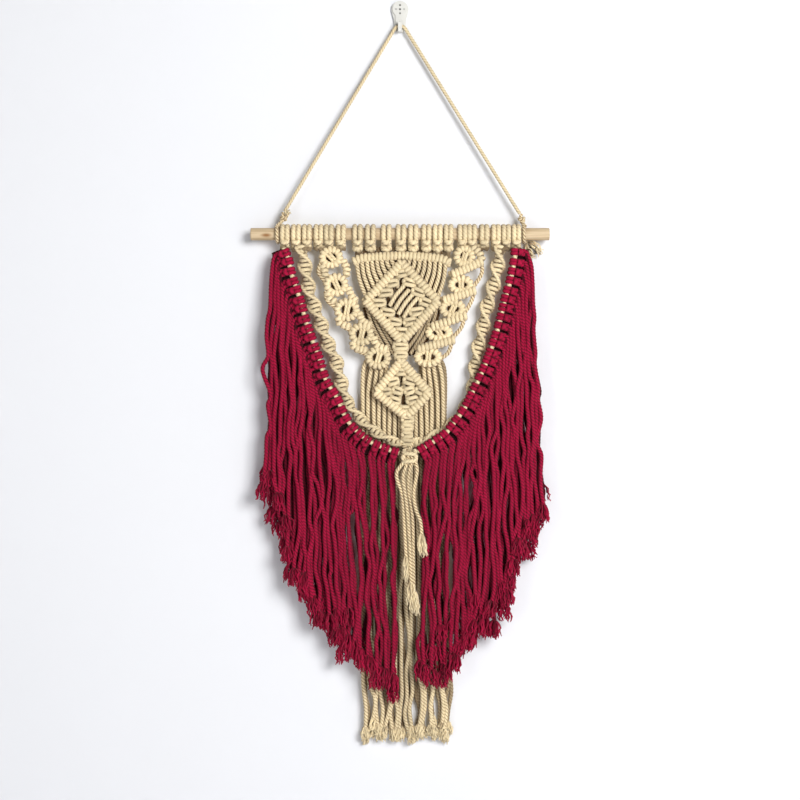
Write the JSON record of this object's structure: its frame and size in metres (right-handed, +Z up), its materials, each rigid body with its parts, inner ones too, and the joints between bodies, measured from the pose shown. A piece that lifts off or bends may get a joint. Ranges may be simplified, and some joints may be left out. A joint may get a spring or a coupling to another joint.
{
  "type": "macrame wall hanging with dowel and wall hook",
  "caption": "Macrame wall hanging of natural and crimson cotton cord on a wooden dowel, with a hanging cord over a small wall hook.",
  "frame": {"origin": "centre of the hook plate's flat back, on the wall", "axes": "+Z up, +Y into the wall along the hook plate's outward normal, +X to the right seen from the front; the front faces -Y"},
  "size_m": [0.299, 0.0349, 0.7522],
  "materials": {
    "natural_cord": "twisted natural cotton cord",
    "red_cord": "twisted cotton cord, dyed crimson",
    "pale_wood": "sanded, unvarnished",
    "white_plastic": "moulded, satin"
  },
  "bodies": {
    "root": {"wall_hook": "white_plastic", "dowel": "pale_wood", "hanging_cord": "natural_cord", "hanger_loop_left": "natural_cord", "hanger_loop_right": "natural_cord", "spiral_left": "natural_cord", "spiral_right": "natural_cord", "ring_column_left": "natural_cord", "ring_column_right": "natural_cord", "center_panel": "natural_cord", "garland_left": "red_cord", "garland_right": "red_cord", "back_fringe": "natural_cord", "front_tassel": "natural_cord"}
  },
  "joints": []
}
